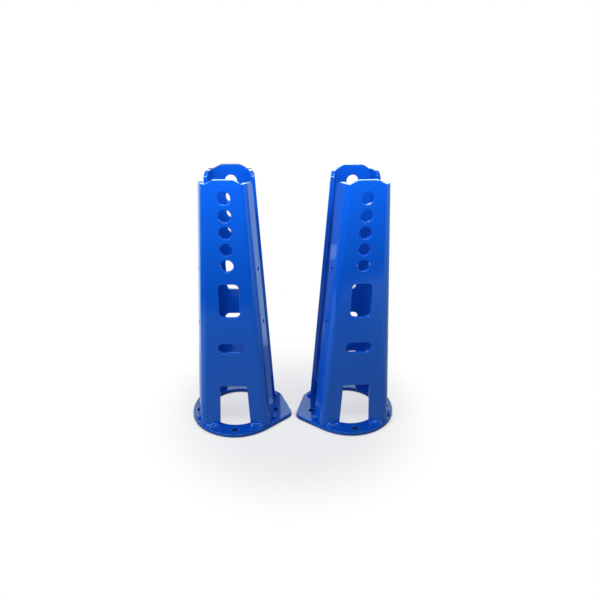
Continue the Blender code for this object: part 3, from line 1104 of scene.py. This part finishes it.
    def build_floor(self) -> None:
        """Adds the paper: lit near the towers, plain white far from them, with a painted contact shade round
        each foot.

        The gloss sees more white behind and beside the towers, and the dark room past the table's edges. The
        light that the paper throws back on the towers is only its own.
        """
        material = bpy.data.materials.new("white_paper")
        tree = self.bare_tree(material)
        path = add_node(tree, "ShaderNodeLightPath").outputs
        glossy, bounced = path["Is Glossy Ray"], path["Is Diffuse Ray"]
        place = add_node(tree, "ShaderNodeTexCoord").outputs["Object"]
        across, depth, _ = add_node(tree, "ShaderNodeSeparateXYZ", {"Vector": place}).outputs
        slant = {0: across, 1: self.table_slant, 2: depth}
        # Painted contact shade: where the towers hide the paper's sky, it is mixed towards a dark emission,
        # round the feet and in the bolt holes
        sockets = {"Distance": self.contact}
        sky = add_node(tree, "ShaderNodeAmbientOcclusion", sockets, samples=self.contact_samples)
        parts = {
            "all": 1.0,
            "glossy": glossy,
            "bounced": bounced,
            "across": across,
            "depth": depth,
            "aside": add_node(tree, "ShaderNodeMath", {0: across}, operation="ABSOLUTE").outputs[0],
            "away": add_node(tree, "ShaderNodeVectorMath", {0: place}, operation="LENGTH").outputs["Value"],
            "slanted": add_node(tree, "ShaderNodeMath", slant, operation="MULTIPLY_ADD").outputs[0],
            "open_sky": sky.outputs["AO"],
        }
        ramps = (
            ("white_round", "away", self.fade, (self.near_white, 1.0)),
            ("white_behind", "depth", self.fade_back, (self.near_white, 1.0)),
            ("white_swept", "depth", self.sweep, (self.front_white, 1.0)),
            ("white_beside", "aside", self.beside, (self.front_white, 1.0)),
            ("before_sweep", "depth", self.sweep, (1.0, 0.0)),
            ("past_front", "slanted", self.table_edge, (1.0, 0.0)),
            ("past_side", "across", self.table_side, (1.0, 0.0)),
            ("painted_shade_seen", "open_sky", self.contact_seen, (1.0, 0.0)),
            ("painted_shade_mirrored", "open_sky", self.contact_mirrored, (1.0, 0.0)),
        )
        joins = (
            ("white_seen", "MAXIMUM", "white_round", "white_behind"),
            ("white_mirrored", "MAXIMUM", "white_swept", "white_beside"),
            ("past_left", "MULTIPLY", "past_side", "before_sweep"),
            ("past_edge", "MAXIMUM", "past_front", "past_left"),
            ("off_table", "MULTIPLY", "past_edge", "glossy"),
        )
        self.add_parts(tree, parts, ramps, joins)
        for kind in ("white", "painted_shade"):
            sockets = {0: glossy, 2: parts[f"{kind}_seen"], 3: parts[f"{kind}_mirrored"]}
            parts[kind] = add_node(tree, "ShaderNodeMix", sockets).outputs[0]
        shares = (
            ("direct", "SUBTRACT", "all", "bounced"),
            ("plain", "MULTIPLY", "white", "direct"),
            ("dark", "MAXIMUM", "off_table", "painted_shade"),
        )
        self.add_parts(tree, parts, (), shares)
        sockets = {0: bounced, 6: linear(self.paper_colour), 7: linear(self.bounce_colour)}
        tone = add_node(tree, "ShaderNodeMix", sockets, data_type="RGBA").outputs[2]
        sockets = {0: glossy, 6: linear(WHITE), 7: linear(self.mirrored_colour)}
        hue = add_node(tree, "ShaderNodeMix", sockets, data_type="RGBA").outputs[2]
        sockets = {0: 1.0, 6: tone, 7: hue}
        tinted = add_node(tree, "ShaderNodeMix", sockets, data_type="RGBA", blend_type="MULTIPLY").outputs[2]
        paper = add_node(tree, "ShaderNodeBsdfDiffuse", {"Color": tinted}).outputs[0]
        white = add_node(tree, "ShaderNodeEmission", {"Color": hue, "Strength": 1.0}).outputs[0]
        # Dark emission for the painted contact shade and for the dark room past the table's edges
        sockets = {"Color": linear(self.shade_colour), "Strength": self.room[0]}
        shade = add_node(tree, "ShaderNodeEmission", sockets).outputs[0]
        near = add_node(tree, "ShaderNodeMixShader", {0: parts["plain"], 1: paper, 2: white}).outputs[0]
        every = add_node(tree, "ShaderNodeMixShader", {0: parts["dark"], 1: near, 2: shade}).outputs[0]
        add_node(tree, "ShaderNodeOutputMaterial", {"Surface": every})
        material.cycles.emission_sampling = "NONE"
        self.paper.build(material)

    def build_cards(self) -> None:
        """Adds the glowing grey sheets between and behind the towers, painted dark reflections which the
        sides that face each other mirror.
        """
        material = bpy.data.materials.new("grey_card")
        tree = self.bare_tree(material)
        sockets = {"Color": linear(self.mirrored_colour), "Strength": self.card_light}
        grey = add_node(tree, "ShaderNodeEmission", sockets).outputs[0]
        add_node(tree, "ShaderNodeOutputMaterial", {"Surface": grey})
        material.cycles.emission_sampling = "NONE"
        for card in self.cards:
            sheet = card.build(material)
            sheet.visible_camera = False
            sheet.visible_diffuse = False
            sheet.visible_shadow = False

    def build_world(self) -> None:
        """Sets the surroundings: white to the camera, and to the gloss a dark room with a white wall behind.

        The wall has a row of windows, and over the front hangs a pale ceiling.
        """
        world = bpy.data.worlds.new("white_studio")
        bpy.context.scene.world = world
        tree = self.bare_tree(world)
        path = add_node(tree, "ShaderNodeLightPath").outputs
        place = add_node(tree, "ShaderNodeTexCoord").outputs["Generated"]
        _, depth, rise = add_node(tree, "ShaderNodeSeparateXYZ", {"Vector": place}).outputs
        sill, head = self.window_span
        parts = {"depth": depth, "rise": rise}
        parts |= {"camera": path["Is Camera Ray"], "through": path["Is Transmission Ray"]}
        ramps = (
            ("wall", "depth", self.room_turn, self.room),
            ("behind", "depth", self.room_turn, (0.0, self.window)),
            ("above_sill", "rise", sill, (0.0, 1.0)),
            ("below_head", "rise", head, (1.0, 0.0)),
            ("overhead", "rise", self.ceiling_rise, (0.0, 1.0)),
            ("before", "depth", self.ceiling_turn, (self.ceiling, 0.0)),
        )
        joins = (
            ("row", "MULTIPLY", "above_sill", "below_head"),
            ("windows", "MULTIPLY", "row", "behind"),
            ("ceiling", "MULTIPLY", "overhead", "before"),
            ("daylight", "ADD", "windows", "ceiling"),
            ("mirrored", "ADD", "wall", "daylight"),
            ("plainly", "MAXIMUM", "camera", "through"),
        )
        self.add_parts(tree, parts, ramps, joins)
        shaders = []
        for colour, strength in (
            (WHITE, self.ambient),
            (self.mirrored_colour, parts["mirrored"]),
            (WHITE, 1.0),
        ):
            sockets = {"Color": linear(colour), "Strength": strength}
            shaders.append(add_node(tree, "ShaderNodeBackground", sockets).outputs[0])
        lit, mirrored, seen = shaders
        sockets = {0: path["Is Glossy Ray"], 1: lit, 2: mirrored}
        around = add_node(tree, "ShaderNodeMixShader", sockets).outputs[0]
        every = add_node(tree, "ShaderNodeMixShader", {0: parts["plainly"], 1: around, 2: seen}).outputs[0]
        add_node(tree, "ShaderNodeOutputWorld", {"Surface": every})
        world.cycles.sampling_method = "NONE"

    def build(self) -> None:
        """Adds floor, cards, surroundings and lamps."""
        self.build_floor()
        self.build_cards()
        self.build_world()
        for lamp in self.lamps:
            lamp.build()


@dataclass(frozen=True)
class PhotoCamera:
    """Camera at the photograph's viewing angle: it stands in front, a little to the left, and looks down."""

    place: tuple[float, float, float] = (-0.0417, -0.7982, 0.5908)
    heading: float = math.radians(-3.757)
    pitch: float = math.radians(25.167)
    roll: float = math.radians(0.41)
    lens: float = 32.388
    sensor: float = 36.0

    def build(self) -> None:
        """Adds the camera: level, then pitched down from the horizon, turned and rolled."""
        data = bpy.data.cameras.new("photo_camera")
        data.lens = self.lens
        data.sensor_width = self.sensor
        camera = bpy.data.objects.new("photo_camera", data)
        aim = Matrix.Rotation(self.heading, 4, "Z") @ Matrix.Rotation(math.pi / 2 - self.pitch, 4, "X")
        camera.matrix_world = Matrix.Translation(self.place) @ aim @ Matrix.Rotation(self.roll, 4, "Z")
        bpy.context.scene.collection.objects.link(camera)
        bpy.context.scene.camera = camera


def main() -> None:
    """Builds both towers, the studio and the camera."""
    logging.basicConfig(level=logging.INFO, format="%(name)s: %(message)s")
    bpy.context.scene.view_settings.view_transform = "Standard"
    plate_coat, weld_coat = PLATE_COAT.material(), WELD_COAT.material()
    for hand in Hand:
        tower = Tower(hand)
        tower.build_plates(plate_coat)
        tower.build_welds(weld_coat)
    Studio().build()
    PhotoCamera().build()


if __name__ == "__main__":
    main()
